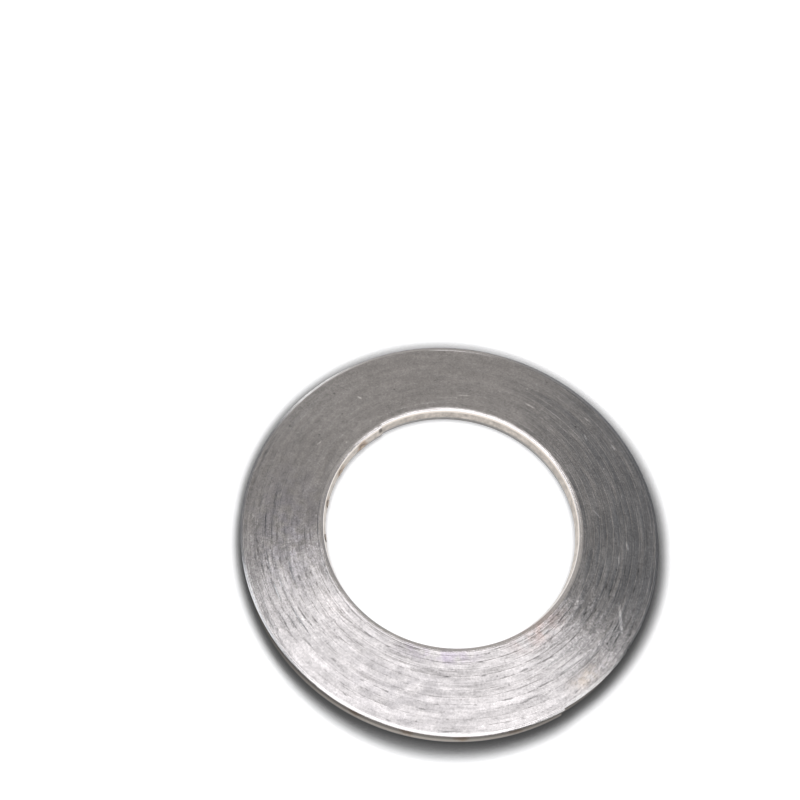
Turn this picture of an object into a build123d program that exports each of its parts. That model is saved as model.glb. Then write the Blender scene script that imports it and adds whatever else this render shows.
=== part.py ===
"""Spiral wound gasket, basic type, with no guide ring.

A V-profile steel strip and a graphite filler strip are wound together on a mandrel and pressed into
one tight roll. The strip runs bare for a few turns at the bore and again at the rim, and both its
ends are spot welded down. Between them each turn shows on both faces as a low ridge: the edge of the
steel strip, from which the filler falls away to the side of the next turn.

Millimetres, +Z up. The origin is on the bore's axis, midway between the two sealing faces.
"""
from build123d import *
import os

# Driving dimensions
CLEAR_BORE_D = 30.4        # the narrowest place of the bore, at the ridge of the V
THICKNESS = 2.5            # from sealing face to sealing face
V_DEPTH = 0.3              # how much nearer the axis a strip's middle is than its edges
STRIP_T = 0.2              # the steel strip
FILLER_T = 0.585           # the graphite strip, as pressed
BARE_TURNS_BORE = 3        # turns of steel alone at the bore
BARE_TURNS_RIM = 3         # turns of steel alone at the rim
FILLED_TURNS = 11          # turns of steel and filler together
FACE_STEP = 0.1            # fall of the filler from one strip's edge to the side of the next
STRIP_START_ANGLE = 128.5  # where the roll begins at the bore, in degrees from +X
STRIP_END_ANGLE = 303.5    # where the roll ends at the rim

# Worked out from them
PITCH = STRIP_T + FILLER_T
FACE_Z = THICKNESS / 2
V_SLOPE = V_DEPTH / FACE_Z
BORE_EDGE_R = CLEAR_BORE_D / 2 + V_DEPTH
FILLED_R = BORE_EDGE_R + BARE_TURNS_BORE * STRIP_T
RIM_EDGE_R = FILLED_R + FILLED_TURNS * PITCH + BARE_TURNS_RIM * STRIP_T
OVERRUN = 1.0              # how far a cutting section runs past what it cuts


def section(points):
    """A face in the XZ plane through (radius, height) points."""
    return make_face(Polyline(*[(radius, 0, height) for radius, height in points], close=True))


def wind_one_turn(face, growth, start_angle):
    """Sweeps a section once round, anticlockwise, while its radius grows by the given amount.

    The turn is two half circles, the second about an axis that is shifted by half of the growth.
    """
    first_half = revolve(face, Axis.Z, 180)
    shifted_axis = Axis((growth / 2, 0, 0), (0, 0, 1))
    second_half = revolve(mirror(face, Plane.YZ), shifted_axis, 180)
    return [Rot(0, 0, start_angle) * half for half in (first_half, second_half)]


def roll_section():
    """The roll before its bore is opened. The rim's wall is the outer side of a V strip."""
    inside_r = CLEAR_BORE_D / 2 - OVERRUN
    return section([
        (inside_r, -FACE_Z),
        (RIM_EDGE_R, -FACE_Z),
        (RIM_EDGE_R - V_DEPTH, 0),
        (RIM_EDGE_R, FACE_Z),
        (inside_r, FACE_Z),
    ])


def bore_section():
    """The hole, whose wall is the inner side of a V strip."""
    mouth_z = FACE_Z + OVERRUN
    mouth_r = BORE_EDGE_R + OVERRUN * V_SLOPE
    return section([
        (0, -mouth_z),
        (mouth_r, -mouth_z),
        (CLEAR_BORE_D / 2, 0),
        (mouth_r, mouth_z),
        (0, mouth_z),
    ])


def groove_section():
    """What is missing above the filler: one tooth a turn, its short side along the slanted strip."""
    lean = FACE_STEP * V_SLOPE
    teeth = [(FILLED_R, FACE_Z)]
    for turn in range(1, FILLED_TURNS):
        strip_edge_r = FILLED_R + turn * PITCH
        teeth.append((strip_edge_r - lean, FACE_Z - FACE_STEP))
        teeth.append((strip_edge_r, FACE_Z))
    outer_r = teeth[-1][0]
    above_z = FACE_Z + OVERRUN
    return section(teeth + [(outer_r, above_z), (FILLED_R, above_z)])


def make_winding():
    roll = Part() + wind_one_turn(roll_section(), STRIP_T, STRIP_END_ANGLE)
    roll -= wind_one_turn(bore_section(), STRIP_T, STRIP_START_ANGLE)
    top_grooves = wind_one_turn(groove_section(), PITCH, STRIP_START_ANGLE)
    bottom_grooves = [mirror(half, Plane.XY) for half in top_grooves]
    roll -= top_grooves + bottom_grooves
    return roll


os.makedirs("parts", exist_ok=True)
winding = make_winding()
export_step(winding, "parts/winding.step")
size = winding.bounding_box().size
print(f"winding: {size.X:.2f} x {size.Y:.2f} x {size.Z:.2f} mm, {len(winding.solids())} solid,"
      f" {winding.volume:.1f} mm3, valid {winding.is_valid}")
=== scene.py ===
"""A spiral wound gasket of the plain kind, with no ring inside or outside the winding.

One steel strip, folded to a V along its middle, is wound with graphite tape between its turns. The first
and the last turns are bare steel, held by spot welds. Everything is in metres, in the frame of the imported
model, unless a name or a comment says otherwise.
"""
import math

import bpy
from mathutils import Matrix, Vector


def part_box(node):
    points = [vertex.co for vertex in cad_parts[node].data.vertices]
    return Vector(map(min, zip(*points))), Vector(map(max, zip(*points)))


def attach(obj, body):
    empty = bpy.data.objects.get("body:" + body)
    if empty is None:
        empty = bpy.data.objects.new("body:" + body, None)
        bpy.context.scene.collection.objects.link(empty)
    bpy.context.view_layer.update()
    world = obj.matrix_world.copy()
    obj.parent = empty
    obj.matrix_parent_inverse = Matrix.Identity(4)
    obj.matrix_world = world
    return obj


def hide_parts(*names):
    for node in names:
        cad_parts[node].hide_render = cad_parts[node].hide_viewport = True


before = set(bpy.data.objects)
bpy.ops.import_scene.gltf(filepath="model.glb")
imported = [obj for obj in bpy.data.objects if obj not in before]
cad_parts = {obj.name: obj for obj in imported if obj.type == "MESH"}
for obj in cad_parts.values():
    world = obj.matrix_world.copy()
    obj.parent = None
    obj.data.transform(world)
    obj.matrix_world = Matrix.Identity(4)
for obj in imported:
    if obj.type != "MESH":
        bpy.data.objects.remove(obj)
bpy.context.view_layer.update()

# ---------------------------------------------------------------- sizes of the winding
MM = 0.001
BOX_LOW, BOX_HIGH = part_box("winding")
HALF_HEIGHT = BOX_HIGH.z
RIM_RADIUS = 25.4 * MM
BORE_RADIUS = 15.5 * MM
STRIP_THICKNESS = 0.2 * MM
FILLER_THICKNESS = 0.585 * MM
V_DEPTH = 0.3 * MM
BARE_TURNS_AT_BORE = 3
FILLED_TURNS = 11
STRIP_START = 128.5
STRIP_END = 303.5
BARE_TURNS_AT_RIM = 2 + (STRIP_END - STRIP_START) / 360
ALL_TURNS = BARE_TURNS_AT_BORE + FILLED_TURNS + BARE_TURNS_AT_RIM
STEPS_PER_TURN = 288

# How far inside its gap the filler starts and ends, in turns.
FILLER_SETBACK = 0.03

# The section of each ribbon: steps over a face, and steps down a wall.
STEEL_SECTION = (4, 6)
FILLER_SECTION = (10, 2)

# Edges that meet at less than this many degrees are shaded as one smooth surface.
SMOOTH_BELOW = 22

# Rows of spot welds that hold the strip's two ends: the azimuth of the first, the step to the next, and
# how many there are.
BORE_WELDS = {"first": 141.0, "step": 17.0, "count": 4}
RIM_WELDS = {"first": 248.5, "step": 14.0, "count": 4}
WELD_RADIUS = 0.5 * MM
WELD_LIFT = 0.03 * MM
WELD_SEGMENTS = 20
WELD_RINGS = 12
RIM_WALL_RADIUS = 25.27 * MM

# ---------------------------------------------------------------- wear of the winding
# Noise over a ribbon is read on a circle of radius 1, this far apart for neighbouring turns.
TURN_SPACING = 1.7

# The powers that shape a ribbon's face: its two edges, its crown, and the ring's corners.
EDGE_POWER = 5.0
CROWN_POWER = 2.0
CORNER_POWER = 1.5

# What changes along the strip: the noise's scale, detail and roughness, then where it starts and ends.
UNEVENNESS = (8.0, 3.0, 0.6, 0.30, 0.70)
WORN_PATCHES = (2.6, 2.0, 0.5, 0.40, 0.56)
WORN_SPOTS = (13.0, 2.0, 0.5, 0.42, 0.60)
TILT = (3.4, 2.0, 0.5, 0.32, 0.68)
TURN_WEAR = (3.0, 3.0, 0.6, 0.32, 0.68)

# ---------------------------------------------------------------- marks on the surface, in millimetres
# Streaks round the ring: how many to the millimetre across, how many to a radian along, and their detail.
BAND_STREAKS = (1.1, 3.5, 1.0)
FINE_STREAKS = (5.0, 24.0, 3.0)
COARSE_STREAKS = (2.0, 10.0, 3.0)
SEAM_STREAKS = (2.0, 20.0, 2.0)

# Spots: how many to the millimetre, their detail and their roughness.
MOTTLE = (1.3, 4.0, 0.65)
GRAIN = (4.0, 3.0, 0.6)
WALL_SPOTS = (1.6, 3.0, 0.6)

# How high each of the marks stands.
MARK_HEIGHTS = {"bands": 0.012, "coarse": 0.005, "fine": 0.003, "mottle": 0.002, "grain": 0.001}

# The two finishes: the grey without marks, how much of it each mark changes, and the roughness with the
# mark that changes it.
STEEL_FINISH = {
    "grey": 0.51,
    "bands": 0.12,
    "fine": 0.06,
    "coarse": 0.08,
    "mottle": 0.12,
    "grain": 0.15,
    "roughness": 0.155,
    "roughened by": "fine",
}
GRAPHITE_FINISH = {
    "grey": 0.49,
    "bands": 0.12,
    "fine": 0.06,
    "coarse": 0.09,
    "mottle": 0.12,
    "grain": 0.15,
    "roughness": 0.165,
    "roughened by": "coarse",
}

# What else changes the grey of a face, and the sheen that both finishes share.
TURN_WEAR_SHARE = 0.09
NICK_LIGHTENS = 0.25
PIT_DARKENS = 0.22
ROUGHNESS_SPREAD = 0.03
ANISOTROPY = 0.7

# The steel's face: the grey it is polished towards and how far, how dark the painted shade in an opened,
# sunken seam is, and how dark the painted shade on the rim's edge is on the near side.
POLISHED_GREY = 0.78
POLISH_SHARE = 0.85
SEAM_PAINTED_SHADE = 0.54
RIM_EDGE_PAINTED_SHADE = 0.32

# The walls: how dull the bore is and how dark the painted shade on its lower half, how much painted shade
# the rim has above its foot and how much painted highlight at its foot, how dark the painted shade in the
# notch at the strip's start is, and how much of the welds' heat shows.
BORE_DULLNESS = 0.4
BORE_LOWER_PAINTED_SHADE = 0.6
RIM_WALL_PAINTED_SHADE = 0.42
RIM_FOOT_PAINTED_HIGHLIGHT = 0.50
START_NOTCH_PAINTED_SHADE = 0.7
HEAT_SHARE = 0.7

# Red, green and blue of the metal, as shares of its grey: the ground faces, and the rolled walls.
FACE_HUE = (1.0, 0.985, 0.985)
WALL_HUE = (1.0, 0.91, 0.82)
HEATED_HUE = (0.55, 0.40, 0.28, 1.0)

# A spot weld's colours, from its middle outwards.
WELD_MIDDLE = (0.42, 0.39, 0.36, 1.0)
WELD_RING = (0.40, 0.31, 0.22, 1.0)
WELD_EDGE = (0.26, 0.22, 0.20, 1.0)

# Scratches across the top face: where each starts and ends, as radius in millimetres and azimuth in
# degrees, half its width in millimetres, and how much lighter it is.
SCRATCHES = (
    ((21.7, -21.0), (24.0, -31.0), 0.24, 0.42),
    ((21.3, -0.3), (21.6, -4.1), 0.18, 0.40),
    ((20.4, -6.0), (20.7, -9.5), 0.14, 0.30),
    ((17.6, 12.0), (18.4, 8.0), 0.14, 0.28),
    ((23.6, 33.8), (23.6, 31.0), 0.18, 0.42),
    ((21.5, 41.2), (21.2, 38.5), 0.17, 0.34),
    ((23.2, 46.0), (23.3, 43.5), 0.14, 0.28),
    ((19.8, 64.6), (19.8, 59.9), 0.16, 0.32),
    ((18.0, 91.5), (18.2, 85.5), 0.16, 0.22),
    ((21.1, 129.2), (20.3, 128.0), 0.18, 0.32),
    ((19.3, 151.0), (19.6, 154.0), 0.14, 0.26),
)

# Faint tints of heat, handling and wear on the top face, with painted light in two rows: painted shade that
# dims the middle of the highlight on the near side, and a painted highlight on the inner face at the near
# left. Each row gives azimuth, its spread, radius, its spread, and the colour that the metal's own is
# multiplied by.
TINTS_AND_PAINTED_LIGHT = (
    (-48.0, 20.0, 16.6, 2.2, (1.0, 0.885, 0.85, 1.0)),
    (-46.0, 10.0, 23.8, 1.6, (1.0, 0.93, 0.84, 1.0)),
    (-92.0, 22.0, 16.6, 1.2, (0.90, 0.84, 1.0, 1.0)),
    (186.0, 34.0, 20.0, 7.0, (0.93, 0.93, 1.0, 1.0)),
    # painted shade: dims the middle of the highlight on the near side
    (-102.0, 36.0, 21.0, 9.0, (0.80, 0.80, 0.81, 1.0)),
    # painted highlight: the inner face at the near left, where the highlight is brightest
    (-136.0, 15.0, 17.2, 3.2, (1.16, 1.15, 1.15, 1.0)),
)

# ---------------------------------------------------------------- floor, light and camera
FLOOR_HALF_SIDE = 2.0
FLOOR_GREY = 0.9
FLOOR_GLOW = 0.3

# How far the shadow round the rim reaches: everywhere, and what each side adds, in millimetres.
SHADOW_REACH = {"everywhere": 1.85, "near": 1.15, "right": 1.0, "back": 1.6}
SHADOW_DEPTH = 0.93
NEAR_SHADOW_IN_METAL = 0.45

# Soft boxes: where each hangs, its two sides, how far it is turned, its radiance and its colour.
SOFTBOXES = {
    "overhead_softbox": ((0.005, 0.0115, 0.4), (0.206, 0.2585), -11.5, 1.86, (1.0, 0.968, 0.98)),
    "back_softbox": ((-0.0205, 0.308, 0.4), (0.201, 0.434), 0.0, 0.45, (1.0, 0.94, 0.885)),
    "back_softbox_middle": ((0.100, 0.308, 0.4), (0.040, 0.434), 0.0, 0.29, (0.97, 0.95, 0.94)),
    "back_softbox_edge": ((0.170, 0.308, 0.4), (0.100, 0.434), 0.0, 0.21, (0.90, 0.93, 0.98)),
    "corner_softbox": ((-0.12, 0.42, 0.4), (0.20, 0.18), 0.0, 1.4, (1.0, 1.0, 1.0)),
    "left_softbox": ((-0.21, 0.035, 0.4), (0.14, 0.15), 0.0, 1.5, (0.94, 0.965, 1.0)),
    "right_softbox": ((0.19, -0.016, 0.4), (0.10, 0.128), 0.0, 1.5, (1.0, 1.0, 1.0)),
}
FLOOR_KEY = ((-0.05, -0.10, 1.2), (0.50, 0.50), 0.0, 9.0, (1.0, 1.0, 1.0))
ROOM_COLOUR = (0.92, 0.95, 1.0, 1.0)
ROOM_LEVEL = 0.55

# The room overhead, by its direction: where a change starts and ends, and the level at both.
ROOM_LEFT = (-0.75, -0.05, 0.42, 0.015)
ROOM_RIGHT = (0.35, 0.65, 0.0, 0.10)
ROOM_FAR_RIGHT = (0.60, 0.85, 0.0, 0.32)
ROOM_FRONT = (-0.55, -0.20, 0.42, 0.0)

# The camera: degrees up and of roll, what it aims at and how far it stands, both in outside radii, and
# its lens in millimetres.
CAMERA_ELEVATION = 59.29
CAMERA_ROLL = 5.82
CAMERA_AIM = (-0.303, 0.646)
CAMERA_DISTANCE = 5.341
CAMERA_LENS = 47.25


# ---------------------------------------------------------------- node trees
class Field:
    """A number or a vector that a node tree works out, so that a formula can be written as one."""

    def __init__(self, nodes, socket):
        self.nodes = nodes
        self.socket = socket

    def __add__(self, other):
        return self.nodes.math("ADD", self, other)

    def __radd__(self, other):
        return self.nodes.math("ADD", other, self)

    def __sub__(self, other):
        return self.nodes.math("SUBTRACT", self, other)

    def __rsub__(self, other):
        return self.nodes.math("SUBTRACT", other, self)

    def __mul__(self, other):
        return self.nodes.math("MULTIPLY", self, other)

    def __rmul__(self, other):
        return self.nodes.math("MULTIPLY", other, self)

    def __truediv__(self, other):
        return self.nodes.math("DIVIDE", self, other)

    def __pow__(self, other):
        return self.nodes.math("POWER", self, other)

    def __abs__(self):
        return self.nodes.math("ABSOLUTE", self)

    def at_least(self, other):
        return self.nodes.math("MAXIMUM", self, other)

    def at_most(self, other):
        return self.nodes.math("MINIMUM", self, other)

    def ramp(self, low, high, to_low=0.0, to_high=1.0, smooth=False):
        """Goes from to_low to to_high as this number goes from low to high, and stays there outside."""
        node = self.nodes.add(
            "ShaderNodeMapRange",
            {"Value": self, "From Min": low, "From Max": high, "To Min": to_low, "To Max": to_high},
            interpolation_type="SMOOTHSTEP" if smooth else "LINEAR",
        )
        return Field(self.nodes, node.outputs[0])

    def fade(self, low, high, smooth=False):
        """1 up to low, and 0 from high on."""
        return self.ramp(low, high, 1.0, 0.0, smooth)


class Nodes:
    """A node tree, with a short call for each kind of node that the recipes below need."""

    def __init__(self, tree):
        self.tree = tree

    def add(self, kind, inputs=None, **settings):
        node = self.tree.nodes.new(kind)
        for name, value in settings.items():
            setattr(node, name, value)
        for key, value in (inputs or {}).items():
            self.feed(node.inputs[key], value)
        return node

    def feed(self, socket, value):
        if isinstance(value, Field):
            value = value.socket
        if isinstance(value, bpy.types.NodeSocket):
            self.tree.links.new(value, socket)
        else:
            socket.default_value = value

    def field(self, kind, inputs=None, output=0, **settings):
        return Field(self, self.add(kind, inputs, **settings).outputs[output])

    def math(self, operation, *values):
        node = self.add("ShaderNodeMath", operation=operation)
        for socket, value in zip(node.inputs, values):
            self.feed(socket, value)
        return Field(self, node.outputs[0])

    def length(self, x, y):
        return self.math("SQRT", x * x + y * y)

    def vector(self, x, y, z):
        return self.field("ShaderNodeCombineXYZ", {"X": x, "Y": y, "Z": z})

    def split(self, vector):
        node = self.add("ShaderNodeSeparateXYZ", {0: vector})
        return [Field(self, out) for out in node.outputs]

    def round_axis(self, radius, angle, z):
        """The place at that radius, angle and height."""
        return self.vector(radius * self.math("COSINE", angle), radius * self.math("SINE", angle), z)

    def noise(self, vector, scale, detail=2.0, roughness=0.5):
        """Smooth noise from 0 to 1 round 0.5."""
        inputs = {"Vector": vector, "Scale": scale, "Detail": detail, "Roughness": roughness}
        return self.field("ShaderNodeTexNoise", inputs)

    def attribute(self, name):
        return self.field("ShaderNodeAttribute", output=2, attribute_name=name)

    def grey(self, tone, hue):
        red, green, blue = (tone if share == 1.0 else tone * share for share in hue)
        return self.field("ShaderNodeCombineColor", {"Red": red, "Green": green, "Blue": blue})

    def colour_mix(self, share, first, second, blend="MIX"):
        node = self.add("ShaderNodeMix", {0: share}, data_type="RGBA", blend_type=blend)
        self.feed(node.inputs[6], first)
        self.feed(node.inputs[7], second)
        return Field(self, node.outputs[2])


def new_tree(name, inputs):
    """An empty shape tree with these named inputs, and each of them as a field."""
    tree = bpy.data.node_groups.new(name, "GeometryNodeTree")
    for label, value in inputs.items():
        socket = tree.interface.new_socket(label, in_out="INPUT", socket_type="NodeSocketFloat")
        socket.default_value = value
    tree.interface.new_socket("Geometry", in_out="OUTPUT", socket_type="NodeSocketGeometry")
    n = Nodes(tree)
    given = {out.name: Field(n, out) for out in n.add("NodeGroupInput").outputs if out.name}
    return tree, n, given


def finish_tree(n, geometry, material):
    """Ends a shape tree with plain geometry that has its material."""
    geometry = n.field("GeometryNodeRealizeInstances", {"Geometry": geometry})
    geometry = n.field("GeometryNodeSetMaterial", {"Geometry": geometry, "Material": material})
    n.feed(n.add("NodeGroupOutput").inputs["Geometry"], geometry)


def captured(n, geometry, value):
    """Keeps a number on the points of a curve, so that it is still there when the curve is a mesh."""
    node = n.add("GeometryNodeCaptureAttribute", {"Geometry": geometry}, domain="POINT")
    node.capture_items.new("FLOAT", "Value")
    n.feed(node.inputs["Value"], value)
    return Field(n, node.outputs["Geometry"]), Field(n, node.outputs["Value"])


def stored(n, geometry, label, value, kind="FLOAT", domain="POINT"):
    """Keeps a number on the finished mesh under a name that its material reads."""
    inputs = {"Geometry": geometry, "Name": label, "Value": value}
    return n.field("GeometryNodeStoreNamedAttribute", inputs, data_type=kind, domain=domain)


def made_by(name, tree, **values):
    """The plain mesh that a tree makes with these values, as an object with one material."""
    piece = bpy.data.objects.new(name, bpy.data.meshes.new(name))
    bpy.context.scene.collection.objects.link(piece)
    modifier = piece.modifiers.new("shape", "NODES")
    modifier.node_group = tree
    for item in tree.interface.items_tree:
        if item.in_out == "INPUT" and item.name in values:
            modifier[item.identifier] = values[item.name]
    evaluated = piece.evaluated_get(bpy.context.evaluated_depsgraph_get())
    mesh = bpy.data.meshes.new_from_object(evaluated)
    piece.modifiers.clear()
    piece.data = mesh
    mesh.name = name
    used = [material for material in mesh.materials if material]
    mesh.materials.clear()
    mesh.materials.append(used[0])
    return piece


# ---------------------------------------------------------------- the two ribbons
RIBBON_INPUTS = {
    "Bore Radius": BORE_RADIUS,
    "Strip Thickness": STRIP_THICKNESS,
    "Filler Thickness": FILLER_THICKNESS,
    "Bare Turns": float(BARE_TURNS_AT_BORE),
    "Filled Turns": float(FILLED_TURNS),
    "First Turn": 0.0,
    "Last Turn": ALL_TURNS,
    "Start Angle": math.radians(STRIP_START),
    "Half Height": HALF_HEIGHT,
    "V Depth": V_DEPTH,
    "Fills The Gap": 0.0,
    "Clearance": 0.002 * MM,
    "Face Sink": 0.0,
    "Face Fall": 0.0,
    "Seam Depth": 0.0,
    "Face Crown": 0.0,
    "Edge Rounding": 0.0015 * MM,
    "Bore Rounding": 0.0,
    "Rim Rounding": 0.0,
    "Bore Corner Turns": 2.4,
    "Rim Corner Turns": 1.8,
    "Recess": 0.0,
    "Unevenness": 0.004 * MM,
}


def plain_ribbon(n, given, round_steps):
    """A ribbon whose points only know how many turns are wound there, and their step round the section."""
    turns = given["Last Turn"] - given["First Turn"]
    count = n.math("ROUND", turns * float(STEPS_PER_TURN)) + 1.0
    index = n.field("GeometryNodeInputIndex")
    line = n.field("GeometryNodeMeshLine", {"Count": count})
    path = n.field("GeometryNodeMeshToCurve", {"Mesh": line})
    path, turn = captured(n, path, given["First Turn"] + index / (count - 1.0) * turns)
    section = n.field("GeometryNodeCurvePrimitiveCircle", {"Resolution": round_steps})
    section, step = captured(n, section, index)
    inputs = {"Curve": path, "Profile Curve": section, "Fill Caps": True}
    return n.field("GeometryNodeCurveToMesh", inputs), turn, step


def spiral_radius(given, turn):
    """The inner radius of the steel strip after that many turns."""
    pitch = given["Strip Thickness"] + given["Filler Thickness"]
    filled = (turn - given["Bare Turns"]).at_least(0.0).at_most(given["Filled Turns"])
    return given["Bore Radius"] + given["Strip Thickness"] * (turn - filled) + pitch * filled


def ribbon_radius(given, turn, across, level):
    """The radius of a place on a ribbon. The steel strip takes its own thickness from the spiral
    outwards, and the filler takes what the next turn leaves."""
    fills = given["Fills The Gap"]
    strip = given["Strip Thickness"]
    gap = spiral_radius(given, turn + 1.0) - spiral_radius(given, turn) - strip
    width = strip * (1.0 - fills) + gap * fills - given["Clearance"] * 2.0
    inner = spiral_radius(given, turn) + strip * fills + given["Clearance"]
    fold = given["V Depth"] * (1.0 - abs(level))
    return inner + width * across - fold


def noise_along(n, place, recipe, to_low=0.0, to_high=1.0, smooth=False):
    """Noise along a ribbon, as its recipe says."""
    scale, detail, roughness, low, high = recipe
    return n.noise(place, scale, detail, roughness).ramp(low, high, to_low, to_high, smooth)


def from_corners(n, given, turn, across):
    """How far a place is from the ring's bore and from its rim. Each is 1 where its corner ends."""
    from_bore = (n.math("FLOOR", turn) + across) / given["Bore Corner Turns"]
    from_rim = (n.math("FLOOR", given["Last Turn"] - turn) + 1.0 - across) / given["Rim Corner Turns"]
    return from_bore, from_rim


def face_wear(n, place, angle, from_bore, from_rim):
    """What the material has to know about a face: where the seams have opened, where it is polished,
    each turn's own wear, and the edge at the rim."""
    worn_side = n.math("SINE", angle).ramp(-0.35, 0.1, 1.0, 0.2)
    patches = noise_along(n, place, WORN_PATCHES, smooth=True) * worn_side
    in_patches = noise_along(n, place, WORN_SPOTS, smooth=True)
    from_corner = from_bore.at_most(from_rim)
    return {
        "recess": patches * in_patches * from_corner.ramp(0.9, 1.3),
        "polish": from_corner.fade(0.6, 1.3),
        "wear": (noise_along(n, place, TURN_WEAR) - 0.5) * worn_side,
        "rim_edge": from_rim.fade(0.05, 0.35),
    }


def face_relief(n, given, place, across, corners, recess):
    """How far a face lies under a flat one: its own fall and opened seam, its rounded edges and
    corners, and the unevenness of a wound and ground face."""
    tilt = noise_along(n, place, TILT, -0.7, 1.0)
    fall = given["Face Fall"] * (tilt * (across - 0.5) + 0.5)
    seam = given["Seam Depth"] * across.ramp(0.75, 1.0) * recess
    sunk = given["Face Sink"] + fall + seam
    from_middle = abs(across * 2.0 - 1.0)
    edges = given["Edge Rounding"] * from_middle**EDGE_POWER
    crown = given["Face Crown"] * from_middle**CROWN_POWER
    rounded = edges + crown + corners + given["Recess"] * recess
    return sunk + rounded + given["Unevenness"] * noise_along(n, place, UNEVENNESS)


def ribbon_tree(name, section_steps, material):
    """A V-section ribbon wound in a spiral. Its section goes over the top face, down the outer wall,
    back along the bottom face and up the inner wall."""
    tree, n, given = new_tree(name, RIBBON_INPUTS)
    face_steps, wall_steps = section_steps
    round_steps = 2 * (face_steps + wall_steps)
    ribbon, turn, step = plain_ribbon(n, given, round_steps)

    top_end = float(face_steps)
    outer_end = float(face_steps + wall_steps)
    bottom_end = float(2 * face_steps + wall_steps)
    inner_end = float(round_steps)
    across = step.ramp(0.0, top_end) - step.ramp(outer_end, bottom_end)
    level = 1.0 - 2.0 * step.ramp(top_end, outer_end) + 2.0 * step.ramp(bottom_end, inner_end)

    angle = given["Start Angle"] + turn * math.tau
    place = n.vector(n.math("COSINE", angle), n.math("SINE", angle), turn * TURN_SPACING)
    from_bore, from_rim = from_corners(n, given, turn, across)
    bore_corner = given["Bore Rounding"] * (1.0 - from_bore).at_least(0.0) ** CORNER_POWER
    rim_corner = given["Rim Rounding"] * (1.0 - from_rim).at_least(0.0) ** CORNER_POWER
    wear = face_wear(n, place, angle, from_bore, from_rim)
    lowered = face_relief(n, given, place, across, bore_corner + rim_corner, wear["recess"])
    radius = ribbon_radius(given, turn, across, level)
    position = n.round_axis(radius, angle, level * (given["Half Height"] - lowered))
    ribbon = n.field("GeometryNodeSetPosition", {"Geometry": ribbon, "Position": position})

    # The map runs along the strip, so that the grain of the rolled and ground steel can follow it.
    along = n.vector(turn, step / inner_end, 0.0)
    ribbon = stored(n, ribbon, "along_strip", along, kind="FLOAT2", domain="CORNER")
    for label, value in wear.items():
        ribbon = stored(n, ribbon, label, value)
    crease = n.field("GeometryNodeInputMeshEdgeAngle")
    smooth = n.math("LESS_THAN", crease, math.radians(SMOOTH_BELOW))
    inputs = {"Geometry": ribbon, "Shade Smooth": smooth}
    ribbon = n.field("GeometryNodeSetShadeSmooth", inputs, domain="EDGE")
    finish_tree(n, ribbon, material)
    return tree


def steel_ribbon():
    """The steel strip, wound the whole way from the bore to the rim."""
    sizes = {
        "Bore Rounding": 0.058 * MM,
        "Rim Rounding": 0.038 * MM,
        "Recess": 0.008 * MM,
        "Face Crown": 0.0025 * MM,
        "Face Sink": 0.003 * MM,
    }
    return made_by("steel_strip", ribbon_tree("wound_strip", STEEL_SECTION, strip_steel()), **sizes)


def graphite_ribbon():
    """The filler starts and ends a little inside the gap that the turns leave for it."""
    sizes = {
        "First Turn": BARE_TURNS_AT_BORE - 1 + FILLER_SETBACK,
        "Last Turn": float(BARE_TURNS_AT_BORE + FILLED_TURNS) - FILLER_SETBACK,
        "Fills The Gap": 1.0,
        "Clearance": 0.0,
        "Face Fall": 0.02 * MM,
        "Seam Depth": 0.02 * MM,
        "Face Crown": 0.002 * MM,
        "Edge Rounding": 0.0,
    }
    return made_by("graphite_filler", ribbon_tree("wound_filler", FILLER_SECTION, graphite_tape()), **sizes)


# ---------------------------------------------------------------- the spot welds
WELD_INPUTS = {
    "Wall Radius": BORE_RADIUS,
    "Half Height": HALF_HEIGHT,
    "V Depth": V_DEPTH,
    "First Angle": 0.0,
    "Angle Step": 0.0,
    "Count": 4.0,
    "Radius": WELD_RADIUS,
    "Lift": WELD_LIFT,
}


def weld_tree(name, material):
    """A row of spot welds round a V wall. Each is a low lens, half sunk in the strip, that follows its
    fold."""
    tree, n, given = new_tree(name, WELD_INPUTS)
    sizes = {"Segments": WELD_SEGMENTS, "Rings": WELD_RINGS, "Radius": 1.0}
    lens = n.field("GeometryNodeMeshUVSphere", sizes)
    points = n.field("GeometryNodeMeshLine", {"Count": given["Count"], "Offset": (0.0, 0.0, 0.0)})
    row = n.field("GeometryNodeInstanceOnPoints", {"Points": points, "Instance": lens})
    row = n.field("GeometryNodeRealizeInstances", {"Geometry": row})

    points_each = float(WELD_SEGMENTS * (WELD_RINGS - 1) + 2)
    which = n.math("FLOOR", (n.field("GeometryNodeInputIndex") + 0.5) / points_each)
    x, y, z = n.split(n.field("GeometryNodeInputPosition"))
    height = z * given["Radius"]
    fold = given["V Depth"] * (1.0 - abs(height) / given["Half Height"])
    radius = given["Wall Radius"] - fold + x * given["Lift"]
    turned = y * given["Radius"] / given["Wall Radius"]
    angle = given["First Angle"] + which * given["Angle Step"] + turned
    row = stored(n, row, "from_middle", n.length(y, z))
    position = n.round_axis(radius, angle, height)
    row = n.field("GeometryNodeSetPosition", {"Geometry": row, "Position": position})
    row = n.field("GeometryNodeSetShadeSmooth", {"Geometry": row, "Shade Smooth": True})
    finish_tree(n, row, material)
    return tree


def weld_row(name, welds, wall_radius, material):
    """The row of spot welds on one wall, as a piece."""
    sizes = {
        "Wall Radius": wall_radius,
        "First Angle": math.radians(welds["first"]),
        "Angle Step": math.radians(welds["step"]),
        "Count": float(welds["count"]),
    }
    return made_by(name, weld_tree(name + "_tree", material), **sizes)


# ---------------------------------------------------------------- what the materials are made of
def new_material(name):
    """An empty metal, with its nodes and its shader."""
    material = bpy.data.materials.new(name)
    material.use_nodes = True
    material.node_tree.nodes.clear()
    n = Nodes(material.node_tree)
    shader = n.add("ShaderNodeBsdfPrincipled")
    shader.inputs["Metallic"].default_value = 1.0
    n.feed(n.add("ShaderNodeOutputMaterial").inputs["Surface"], shader.outputs[0])
    return material, n, shader


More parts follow.
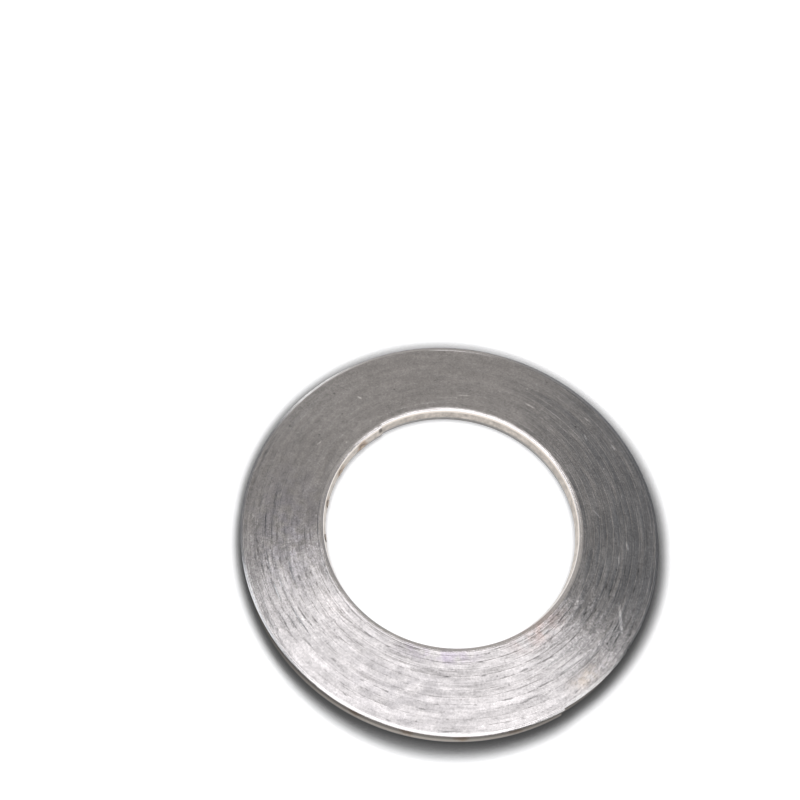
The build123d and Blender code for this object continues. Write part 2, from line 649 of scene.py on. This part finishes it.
def ring_places(n):
    """The distance from the bore's axis and the height, in millimetres, and the place round the ring."""
    x, y, z = n.split(n.field("ShaderNodeTexCoord", output="Object"))
    radius = n.length(x, y)
    return {
        "x": x / MM,
        "y": y / MM,
        "radius": radius / MM,
        "height": z / MM,
        "cosine": x / radius,
        "sine": y / radius,
        "azimuth": n.math("ARCTAN2", y, x) * math.degrees(1),
        "millimetres": n.vector(x / MM, y / MM, z / MM),
    }


def turned_from(n, places, azimuth):
    """How many degrees round the ring a place is from that azimuth, from -180 to 180."""
    return n.math("FLOORED_MODULO", places["azimuth"] - azimuth + 180.0, 360.0) - 180.0


def streaks(n, places, recipe):
    """Noise drawn out round the ring."""
    across, along, detail = recipe
    vector = n.vector(places["cosine"] * along, places["sine"] * along, places["radius"] * across)
    return n.noise(vector, 1.0, detail)


def spots(n, places, recipe, to_low=0.0, to_high=1.0):
    """Noise with no direction, between these two numbers."""
    return n.noise(places["millimetres"], *recipe).ramp(0.3, 0.7, to_low, to_high)


def ground_face(n, places):
    """The marks that grinding and pressing left on the faces, the same over steel and graphite. Each goes
    from 0 to 1, round a half. The last is how strong they are, which is less on the far side."""
    return {
        "bands": streaks(n, places, BAND_STREAKS).ramp(0.3, 0.7),
        "fine": streaks(n, places, FINE_STREAKS).ramp(0.3, 0.7),
        "coarse": streaks(n, places, COARSE_STREAKS).ramp(0.3, 0.7),
        "mottle": spots(n, places, MOTTLE),
        "grain": spots(n, places, GRAIN),
        "strength": places["sine"].ramp(0.0, 0.6, 1.0, 0.6),
    }


def speckled(n, places, grey):
    """The grey with a few bright nicks and dark pits in it."""
    cells = n.add("ShaderNodeTexVoronoi", {"Vector": places["millimetres"], "Scale": 0.8})
    near = Field(n, cells.outputs["Distance"]).fade(0.06, 0.12)
    pick = n.split(Field(n, cells.outputs["Color"]))[0]
    nicks = near * n.math("GREATER_THAN", pick, 0.88)
    pits = near * n.math("LESS_THAN", pick, 0.14)
    return grey + nicks * NICK_LIGHTENS - pits * PIT_DARKENS


def marked_grey(n, places, marks, finish):
    """A finish's grey, made lighter and darker by the marks, by each turn's own wear and by specks."""

    def change(name):
        return (marks[name] - 0.5) * finish[name]

    rows = (change("bands") + change("fine") + change("coarse")) * marks["strength"]
    blotches = change("mottle") + change("grain")
    grey = finish["grey"] + rows + blotches + n.attribute("wear") * TURN_WEAR_SHARE
    return speckled(n, places, grey)


def place_on_face(radius, azimuth):
    """The place in x and y at a radius and an azimuth."""
    angle = math.radians(azimuth)
    return Vector((radius * math.cos(angle), radius * math.sin(angle)))


def scratch(places, start, end, half_width, lightness):
    """How much lighter one scratch makes a place. It fades to 0 towards its ends and its sides."""
    start = place_on_face(*start)
    end = place_on_face(*end)
    length = (end - start).length
    way = (end - start) / length
    x = places["x"] - start.x
    y = places["y"] - start.y
    along = x * way.x + y * way.y
    off = abs(x * way.y - y * way.x)
    ends = along.ramp(0.0, length * 0.3) * along.fade(length * 0.7, length)
    return off.ramp(half_width * 0.3, half_width, lightness, 0.0) * ends


def scratched(places):
    """How much lighter the scratches make a place on the top face, and 0 below it."""
    return sum(scratch(places, *row) for row in SCRATCHES) * places["height"].ramp(0.9, 1.0)


def with_tints_and_painted_light(n, places, colour):
    """The colour with the faint tints of the top face laid over it, and with the painted shade and painted
    highlight among them.
    """
    for azimuth, azimuth_spread, radius, radius_spread, multiplier in TINTS_AND_PAINTED_LIGHT:
        round_ring = abs(turned_from(n, places, azimuth)).fade(0.0, azimuth_spread, smooth=True)
        across_ring = abs(places["radius"] - radius).fade(0.0, radius_spread, smooth=True)
        patchy = n.noise(places["millimetres"], 0.7, 2.0).ramp(0.35, 0.6)
        colour = n.colour_mix(round_ring * across_ring * patchy, colour, multiplier, blend="MULTIPLY")
    return colour


def heated(n, places, welds):
    """1 at a row of welds, fading to 0 round each."""
    from_first = turned_from(n, places, welds["first"])
    which = n.math("ROUND", from_first / welds["step"])
    which = which.at_most(welds["count"] - 1.0).at_least(0.0)
    round_wall = (from_first - which * welds["step"]) * places["radius"] * math.radians(1)
    away = n.length(round_wall, places["height"])
    patchy = n.noise(places["millimetres"], 1.5, 2.0).ramp(0.3, 0.7, 0.7, 1.3)
    return (away * patchy).fade(0.35, 1.3, smooth=True)


def start_notch_shade(n, places):
    """1 on the notch at the strip's start, in the upper edge of the bore, which is painted dark as shade,
    and 0 elsewhere.
    """
    round_wall = abs(turned_from(n, places, STRIP_START + 0.8)).fade(0.6, 1.3)
    return round_wall * places["height"].ramp(0.3, 0.6) * places["radius"].fade(15.8, 16.0)


def grain_along_strip(n, shader):
    """Reflections are drawn out across the strip, because its fine grain runs along it."""
    tangent = n.add("ShaderNodeTangent", direction_type="UV_MAP", uv_map="along_strip")
    n.feed(shader.inputs["Tangent"], tangent.outputs[0])
    shader.inputs["Anisotropic"].default_value = ANISOTROPY
    shader.inputs["Anisotropic Rotation"].default_value = 0.25


def scored(n, shader, marks):
    """Shallow ridges and score lines round the ring, and the small unevenness between them."""
    height = sum(marks[name] * share for name, share in MARK_HEIGHTS.items())
    bumps = n.add("ShaderNodeBump", {"Strength": 1.0, "Distance": MM, "Height": height})
    n.feed(shader.inputs["Normal"], bumps.outputs[0])


def finished(n, shader, marks, finish):
    """The sheen that both materials share: the grain along the strip and the score lines."""
    roughened = (0.5 - marks[finish["roughened by"]]) * ROUGHNESS_SPREAD
    n.feed(shader.inputs["Roughness"], finish["roughness"] + roughened)
    grain_along_strip(n, shader)
    scored(n, shader, marks)


# ---------------------------------------------------------------- the materials
def on_either_face(places):
    """1 on the two faces, and 0 on the walls below their edges."""
    top = HALF_HEIGHT / MM
    return abs(places["height"]).ramp(top - 0.16, top - 0.10)


def steel_face(n, places, grey, on_face):
    """The strip's ground edge: polished where it runs bare, with painted shade where the seams have opened
    and sunk, and painted shade on the near side of the rim's edge.
    """
    tone = grey + (POLISHED_GREY - grey) * n.attribute("polish") * POLISH_SHARE
    # painted shade in the sunken seams
    seam_shade = n.attribute("recess") * streaks(n, places, SEAM_STREAKS).ramp(0.46, 0.60)
    tone = tone * (1.0 - seam_shade * on_face * SEAM_PAINTED_SHADE)
    # painted shade on the rim's edge and wall, on the near side only
    near_rim_shade = places["sine"].ramp(-0.6, 0.0, RIM_EDGE_PAINTED_SHADE, 0.0)
    return tone * (1.0 - n.attribute("rim_edge") * near_rim_shade) + scratched(places)


def bore_wall(n, places, tone, in_bore):
    """The strip's side in the bore: dull, and with painted shade on its lower half, where it faces down."""
    # painted shade on the lower half of the bore's wall, where it faces down
    lower_half_shade = places["height"].fade(-0.15, 0.1, smooth=True) * in_bore
    dull = BORE_DULLNESS + spots(n, places, WALL_SPOTS, -0.16, 0.16)
    below_edge = places["height"].fade(0.8, 0.95)
    return tone * (1.0 - lower_half_shade * BORE_LOWER_PAINTED_SHADE) * (1.0 - in_bore * dull * below_edge)


def rim_wall(places, tone, in_rim):
    """The strip's side at the rim: painted shade above its foot, where its upper flank faces down, and a
    painted highlight at the foot.
    """
    above_foot = places["height"].ramp(-0.80, -0.35, smooth=True)
    at_foot = abs(places["height"] + 1.0).fade(0.15, 0.40, smooth=True)
    # painted shade on the rim's wall above its foot, where its upper flank faces down
    shaded_rim_wall = tone * (1.0 - in_rim * above_foot * RIM_WALL_PAINTED_SHADE)
    # painted highlight at the rim's foot
    return shaded_rim_wall * (1.0 + in_rim * at_foot * RIM_FOOT_PAINTED_HIGHLIGHT)


def steel_wall(n, places, tone):
    """The strip's rolled sides, with painted shade in the notch at its start and the heat marks of the
    welds.
    """
    bore_edge = BORE_RADIUS / MM
    in_bore = 1.0 - places["radius"].ramp(bore_edge + 0.1, bore_edge + 0.3)
    in_rim = places["radius"].ramp(24.7, 24.9)
    tone = rim_wall(places, bore_wall(n, places, tone, in_bore), in_rim)
    # painted shade in the notch at the strip's start
    tone = tone * (1.0 - start_notch_shade(n, places) * START_NOTCH_PAINTED_SHADE)
    heat = in_bore * heated(n, places, BORE_WELDS) + in_rim * heated(n, places, RIM_WELDS)
    return n.colour_mix(heat * HEAT_SHARE, n.grey(tone, WALL_HUE), HEATED_HUE, blend="MULTIPLY")


def strip_steel():
    """The steel strip's metal, bright on its ground edges and duller on its rolled sides."""
    material, n, shader = new_material("strip_steel")
    places = ring_places(n)
    marks = ground_face(n, places)
    on_face = on_either_face(places)
    tone = steel_face(n, places, marked_grey(n, places, marks, STEEL_FINISH), on_face)
    face = with_tints_and_painted_light(n, places, n.grey(tone, FACE_HUE))
    wall = steel_wall(n, places, tone)
    n.feed(shader.inputs["Base Color"], n.colour_mix(on_face, wall, face))
    finished(n, shader, marks, STEEL_FINISH)
    return material


def graphite_tape():
    """Pressed and burnished graphite, a little darker than the steel between whose turns it lies."""
    material, n, shader = new_material("graphite_tape")
    places = ring_places(n)
    marks = ground_face(n, places)
    tone = marked_grey(n, places, marks, GRAPHITE_FINISH) + scratched(places)
    n.feed(shader.inputs["Base Color"], with_tints_and_painted_light(n, places, n.grey(tone, FACE_HUE)))
    finished(n, shader, marks, GRAPHITE_FINISH)
    return material


def heat_tinted_steel():
    """A spot weld: grey where the electrode stood, straw round that, and dark brown at its edge."""
    material, n, shader = new_material("heat_tinted_steel")
    places = ring_places(n)
    out = n.attribute("from_middle") + spots(n, places, (2.5, 3.0, 0.6), -0.15, 0.15)
    colour = n.colour_mix(out.ramp(0.15, 0.5), WELD_MIDDLE, WELD_RING)
    colour = n.colour_mix(out.ramp(0.6, 0.95), colour, WELD_EDGE)
    n.feed(shader.inputs["Base Color"], colour)
    n.feed(shader.inputs["Roughness"], spots(n, places, (6.0, 2.0), 0.3, 0.45))
    return material


def pale_floor():
    """White, with a shadow round the gasket that is darkest where the floor meets the rim."""
    material = bpy.data.materials.new("pale_floor")
    material.use_nodes = True
    material.node_tree.nodes.clear()
    n = Nodes(material.node_tree)
    x, y, z = n.split(n.field("ShaderNodeTexCoord", output="Object"))
    radius = n.length(x, y)
    outside = n.math("GREATER_THAN", radius, 0.5 * (RIM_RADIUS + BORE_RADIUS))
    near = (y / radius * -1.0).at_least(0.0) ** 4.0
    right = (x / radius).at_least(0.0) ** 4.0
    back = (y / radius).at_least(0.0)
    reach = SHADOW_REACH["everywhere"] + near * SHADOW_REACH["near"] + right * SHADOW_REACH["right"]
    reach = (reach + back * SHADOW_REACH["back"]) * MM
    open_sky = n.field("ShaderNodeAmbientOcclusion", {"Distance": reach}, output=1, samples=8)
    shade = (SHADOW_DEPTH - open_sky.ramp(0.2, 0.93, 0.0, 0.991) ** 8.0).at_least(0.0)

    # The floor shows as white to the camera and in the metal, and its shadow is fainter in the rim's wall.
    seen = n.add("ShaderNodeLightPath")
    by_camera = Field(n, seen.outputs["Is Camera Ray"])
    by_metal = Field(n, seen.outputs["Is Glossy Ray"])
    white = 1.0 - outside * shade * (1.0 - by_metal * near * NEAR_SHADOW_IN_METAL)
    colour = n.grey(white * FLOOR_GREY, (1.0, 1.0, 1.0))
    lit = n.add("ShaderNodeBsdfDiffuse", {"Color": colour})
    glow = n.add("ShaderNodeEmission", {"Color": colour, "Strength": (by_camera + by_metal) * FLOOR_GLOW})
    both = n.add("ShaderNodeAddShader", {0: lit.outputs[0], 1: glow.outputs[0]})
    n.feed(n.add("ShaderNodeOutputMaterial").inputs["Surface"], both.outputs[0])
    return material


# ---------------------------------------------------------------- the gasket and the studio
def winding():
    """The whole gasket: both strips and the welds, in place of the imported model's one solid."""
    steel = steel_ribbon()
    graphite = graphite_ribbon()
    weld_steel = heat_tinted_steel()
    bore_row = weld_row("bore_welds", BORE_WELDS, BORE_RADIUS, weld_steel)
    rim_row = weld_row("rim_welds", RIM_WELDS, RIM_WALL_RADIUS, weld_steel)
    slots = (
        (steel, "steel_strip"),
        (graphite, "graphite_filler"),
        (bore_row, "steel_strip"),
        (rim_row, "steel_strip"),
    )
    for piece, slot in slots:
        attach(piece, "root")
        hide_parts("winding")


def floor():
    """A level floor under the gasket, which is no part of it."""
    side = FLOOR_HALF_SIDE
    corners = [(-side, -side), (side, -side), (side, side), (-side, side)]
    mesh = bpy.data.meshes.new("floor")
    mesh.from_pydata([(x, y, BOX_LOW.z) for x, y in corners], [], [(0, 1, 2, 3)])
    mesh.materials.append(pale_floor())
    plane = bpy.data.objects.new("floor", mesh)
    bpy.context.scene.collection.objects.link(plane)


def softbox(name, place, size, turned, radiance, colour):
    """A level rectangular light over the gasket, which shows in its reflection at that brightness."""
    light = bpy.data.lights.new(name, "AREA")
    light.shape = "RECTANGLE"
    light.size, light.size_y = size
    light.energy = radiance * math.pi * size[0] * size[1]
    light.color = colour
    lamp = bpy.data.objects.new(name, light)
    lamp.location = place
    lamp.rotation_euler = (0.0, 0.0, math.radians(turned))
    bpy.context.scene.collection.objects.link(lamp)
    return lamp


def lamps():
    """The soft boxes over the gasket, and a key light that the metal does not show."""
    for name, settings in SOFTBOXES.items():
        softbox(name, *settings)
    key = softbox("floor_key", *FLOOR_KEY)
    key.visible_glossy = False


def room():
    """An even room low down, and overhead a dim one that is lighter on the left, right and front."""
    world = bpy.data.worlds.new("room")
    bpy.context.scene.world = world
    world.use_nodes = True
    n = Nodes(world.node_tree)
    world.node_tree.nodes.clear()
    x, y, z = n.split(n.field("ShaderNodeTexCoord", output="Generated"))
    above = z.ramp(0.2, 0.8, smooth=True)
    left = x.ramp(*ROOM_LEFT)
    right = x.ramp(*ROOM_RIGHT) + x.ramp(*ROOM_FAR_RIGHT)
    front = y.ramp(*ROOM_FRONT)
    level = (1.0 - above) * ROOM_LEVEL + above * (left + right + front)
    sky = n.add("ShaderNodeBackground", {"Color": ROOM_COLOUR, "Strength": level})
    n.feed(n.add("ShaderNodeOutputWorld").inputs["Surface"], sky.outputs[0])


def camera():
    """Looks down on the gasket from in front, a little turned about its own line of sight."""
    elevation = math.radians(CAMERA_ELEVATION)
    roll = math.radians(CAMERA_ROLL)
    aim = Vector((CAMERA_AIM[0] * RIM_RADIUS, CAMERA_AIM[1] * RIM_RADIUS, HALF_HEIGHT))
    distance = CAMERA_DISTANCE * RIM_RADIUS
    back = Vector((0.0, -math.cos(elevation), math.sin(elevation)))
    right = Vector((1.0, 0.0, 0.0))
    up = back.cross(right)
    rolled_right = right * math.cos(roll) + up * math.sin(roll)
    rolled_up = up * math.cos(roll) - right * math.sin(roll)
    data = bpy.data.cameras.new("camera")
    data.lens = CAMERA_LENS
    data.clip_start = MM
    eye = bpy.data.objects.new("camera", data)
    turn = Matrix((rolled_right, rolled_up, back)).transposed().to_4x4()
    eye.matrix_world = Matrix.Translation(aim + back * distance) @ turn
    bpy.context.scene.collection.objects.link(eye)
    bpy.context.scene.camera = eye


winding()
floor()
lamps()
room()
camera()
bpy.context.scene.view_settings.view_transform = "Standard"
